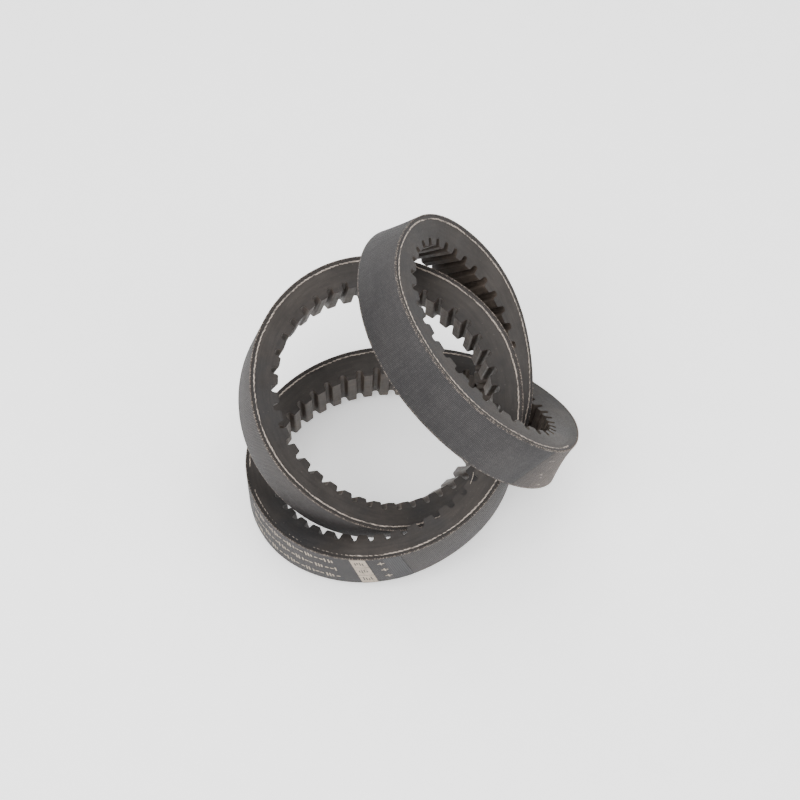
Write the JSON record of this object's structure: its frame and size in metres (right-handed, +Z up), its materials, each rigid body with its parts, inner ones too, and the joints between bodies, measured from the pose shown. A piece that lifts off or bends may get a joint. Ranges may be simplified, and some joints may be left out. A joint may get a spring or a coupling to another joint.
{
  "type": "v belt",
  "caption": "Endless raw-edge cogged V-belt for a variable-speed drive, twisted into three coils for storage.",
  "frame": {"origin": "on the floor under the middle of the coiled belt's bounding box", "axes": "+Z up; +X to the right and +Y away from the side with the size label; the lowest coil rests on its lower side edge"},
  "size_m": [0.1777, 0.1686, 0.1536],
  "materials": {
    "back_fabric": "rubberised plain weave",
    "tension_rubber": "cut, matte",
    "tensile_cord": "twisted polyester cord, cut edge",
    "cushion_rubber": "cut, matte",
    "cog_rubber": "fibre-loaded, moulded and cut, matte",
    "label": "transferred ink film"
  },
  "bodies": {
    "root": {"back_fabric_panel_1": "back_fabric", "back_fabric_panel_2": "back_fabric", "back_fabric_panel_3": "back_fabric", "tension_gum": "tension_rubber", "cord_layer": "tensile_cord", "cushion_gum": "cushion_rubber", "cogged_base": "cog_rubber", "size_label": "label"}
  },
  "joints": []
}
